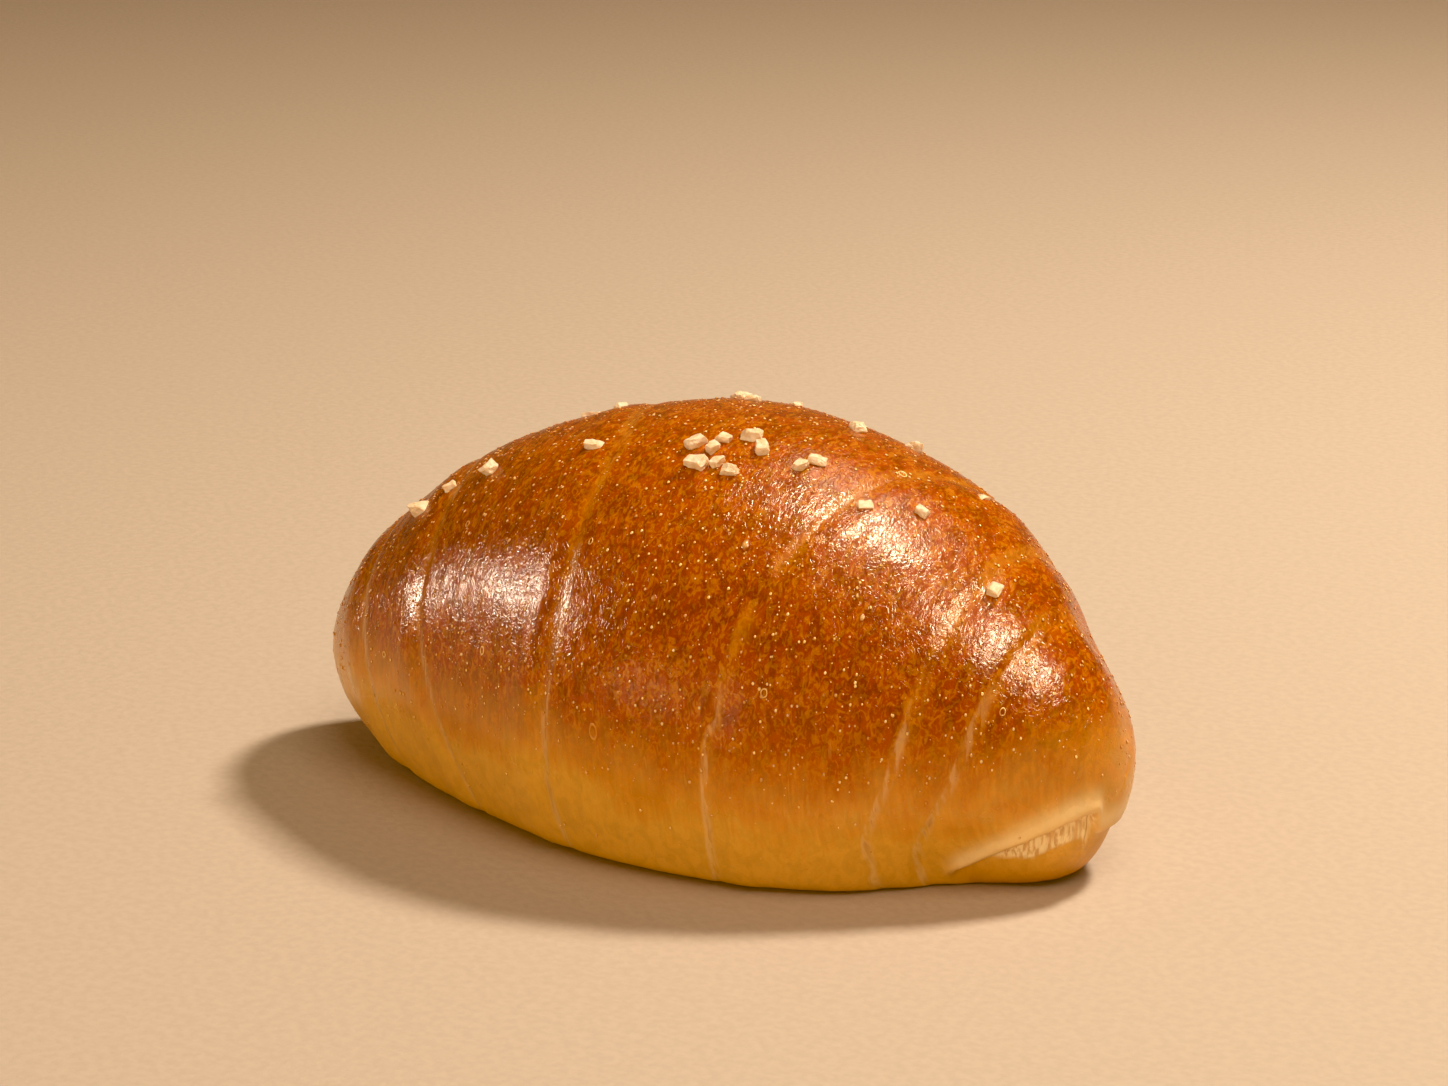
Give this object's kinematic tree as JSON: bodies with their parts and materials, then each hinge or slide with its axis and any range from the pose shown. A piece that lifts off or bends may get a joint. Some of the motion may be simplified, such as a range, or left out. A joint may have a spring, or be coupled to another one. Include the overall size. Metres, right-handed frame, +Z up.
{
  "type": "salt bread roll",
  "caption": "Oval baked roll with tapered ends, spiral dough seams, a glossy golden-brown crust and coarse salt grains along its crest.",
  "frame": {"origin": "middle of the flat base that the roll lies on", "axes": "+X along the roll towards the end with the fold, +Y to the back, +Z up through the salted crest"},
  "size_m": [0.1248, 0.0688, 0.0588],
  "materials": {
    "crust": "glossy egg-washed baked crust, deep orange brown on top and pale golden near the base",
    "salt": "matte to waxy, slightly translucent cream-white crystals"
  },
  "bodies": {
    "root": {"roll": "crust", "salt_grain_01": "salt", "salt_grain_02": "salt", "salt_grain_03": "salt", "salt_grain_04": "salt", "salt_grain_05": "salt", "salt_grain_06": "salt", "salt_grain_07": "salt", "salt_grain_08": "salt", "salt_grain_09": "salt", "salt_grain_10": "salt", "salt_grain_11": "salt", "salt_grain_12": "salt", "salt_grain_13": "salt", "salt_grain_14": "salt", "salt_grain_15": "salt", "salt_grain_16": "salt", "salt_grain_17": "salt", "salt_grain_18": "salt", "salt_grain_19": "salt", "salt_grain_20": "salt", "salt_grain_21": "salt", "salt_grain_22": "salt", "salt_grain_23": "salt", "salt_grain_24": "salt", "salt_grain_25": "salt"}
  },
  "joints": []
}
